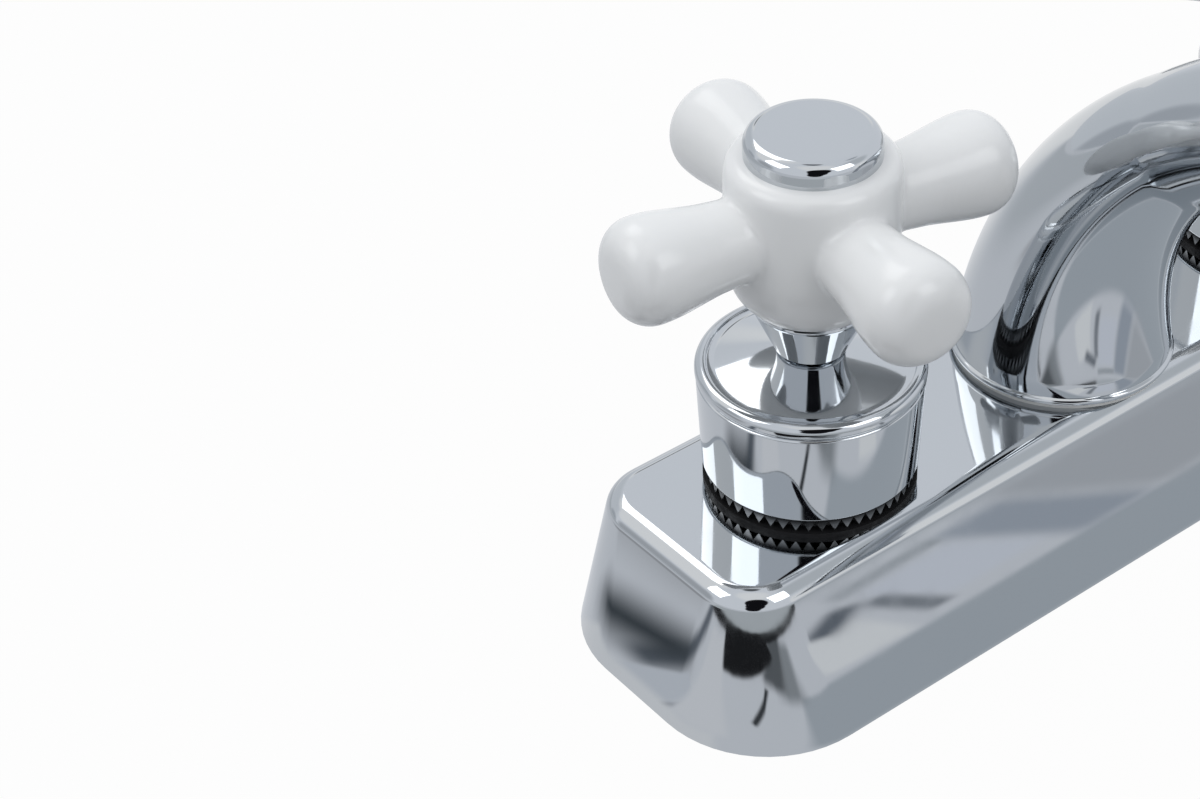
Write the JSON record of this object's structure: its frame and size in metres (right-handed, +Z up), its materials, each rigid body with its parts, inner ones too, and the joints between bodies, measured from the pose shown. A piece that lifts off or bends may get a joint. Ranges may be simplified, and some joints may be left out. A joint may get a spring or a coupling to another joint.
{
  "type": "basin mixer tap",
  "caption": "Two-handle deck-mounted basin mixer with porcelain cross handles, beaded bonnets and a curved swivel spout over one oblong chrome deck.",
  "frame": {"origin": "on the counter plane under the middle of the deck, half way between the handles", "axes": "+Z up, +X along the deck to the right-hand handle, -Y towards the user, under the spout outlet"},
  "size_m": [0.1696, 0.1596, 0.1414],
  "materials": {
    "deck_chrome": "polished chrome plate",
    "spout_chrome": "polished chrome plate",
    "porcelain": "glossy white glaze",
    "disc_ceramic": "lapped",
    "brass": "machined",
    "steel": "bright",
    "dark_metal": "dark, oiled",
    "black_rubber": "matt",
    "white_plastic": "matt"
  },
  "bodies": {
    "tap_base": {"base_gasket": "black_rubber", "deck_body": "deck_chrome", "left_bonnet": "deck_chrome", "left_bonnet_pad": "black_rubber", "left_fixed_disc": "disc_ceramic", "left_mounting_nut": "brass", "left_mounting_washer": "steel", "left_seat_seal": "black_rubber", "left_serrated_ring": "dark_metal", "left_shank": "brass", "left_spindle_ring": "black_rubber", "left_valve_housing": "brass", "right_bonnet": "deck_chrome", "right_bonnet_pad": "black_rubber", "right_fixed_disc": "disc_ceramic", "right_mounting_nut": "brass", "right_mounting_washer": "steel", "right_seat_seal": "black_rubber", "right_serrated_ring": "dark_metal", "right_shank": "brass", "right_spindle_ring": "black_rubber", "right_valve_housing": "brass", "spout_clip": "steel", "spout_slip_ring": "white_plastic", "spout_stop_pin": "steel"},
    "left_handle": {"left_cross": "porcelain", "left_handle_collar": "deck_chrome", "left_handle_screw": "steel", "left_handle_cap": "deck_chrome", "left_spindle": "brass", "left_moving_disc": "disc_ceramic"},
    "right_handle": {"right_cross": "porcelain", "right_handle_collar": "deck_chrome", "right_handle_screw": "steel", "right_handle_cap": "deck_chrome", "right_spindle": "brass", "right_moving_disc": "disc_ceramic"},
    "spout_arm": {"spout": "spout_chrome", "aerator_housing": "spout_chrome", "aerator_insert": "white_plastic", "aerator_washer": "black_rubber", "spout_upper_ring": "black_rubber", "spout_lower_ring": "black_rubber"}
  },
  "joints": [
    {"name": "left_handle_turn", "type": "hinge", "parent": "tap_base", "child": "left_handle", "pos_m": [-0.0508, 0, 0.0592], "axis": [0, 0, 1], "range_deg": [0, 90]},
    {"name": "right_handle_turn", "type": "hinge", "parent": "tap_base", "child": "right_handle", "pos_m": [0.0508, 0, 0.0592], "axis": [0, 0, 1], "range_deg": [-90, 0]},
    {"name": "spout_swivel", "type": "hinge", "parent": "tap_base", "child": "spout_arm", "pos_m": [0, -0.002, 0.026], "axis": [0, 0, 1], "range_deg": [-30, 30]}
  ]
}
